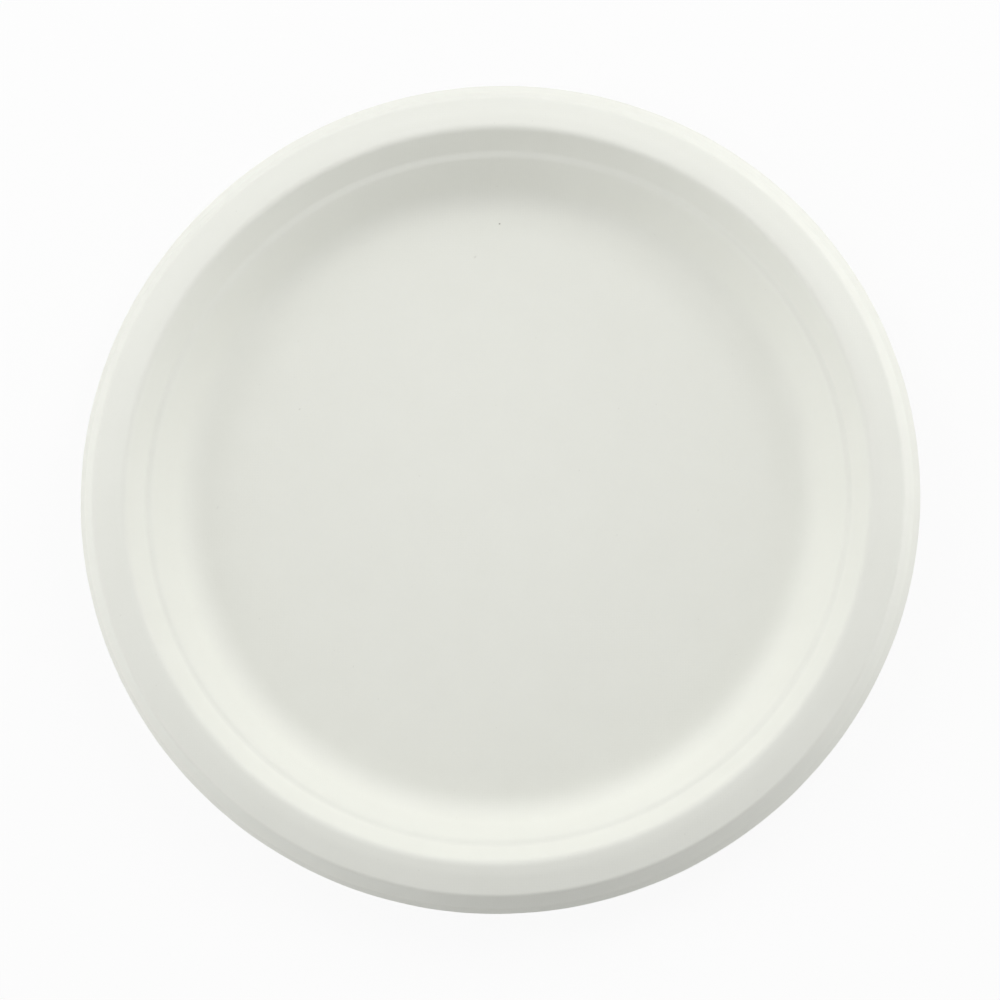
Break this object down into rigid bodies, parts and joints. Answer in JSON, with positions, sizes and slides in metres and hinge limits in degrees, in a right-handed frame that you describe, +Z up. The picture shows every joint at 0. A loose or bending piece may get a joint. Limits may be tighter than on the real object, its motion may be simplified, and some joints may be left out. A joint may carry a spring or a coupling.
{
  "type": "bagasse plate",
  "caption": "Round disposable plate moulded from sugarcane fibre, with a level floor, a sloping side with a stacking ledge, a broad rim and a turned-down edge.",
  "frame": {"origin": "on the plate's axis, at the table that the floor's underside rests on", "axes": "+Z up along the plate's axis; the plate is round, so X and Y are free, and +Y points to the top of the picture"},
  "size_m": [0.23, 0.23, 0.02],
  "materials": {
    "moulded_fibre": "matt pressed sugarcane fibre, off-white, with a faint forming-mesh texture and a few darker flecks"
  },
  "bodies": {
    "root": {"plate": "moulded_fibre"}
  },
  "joints": []
}
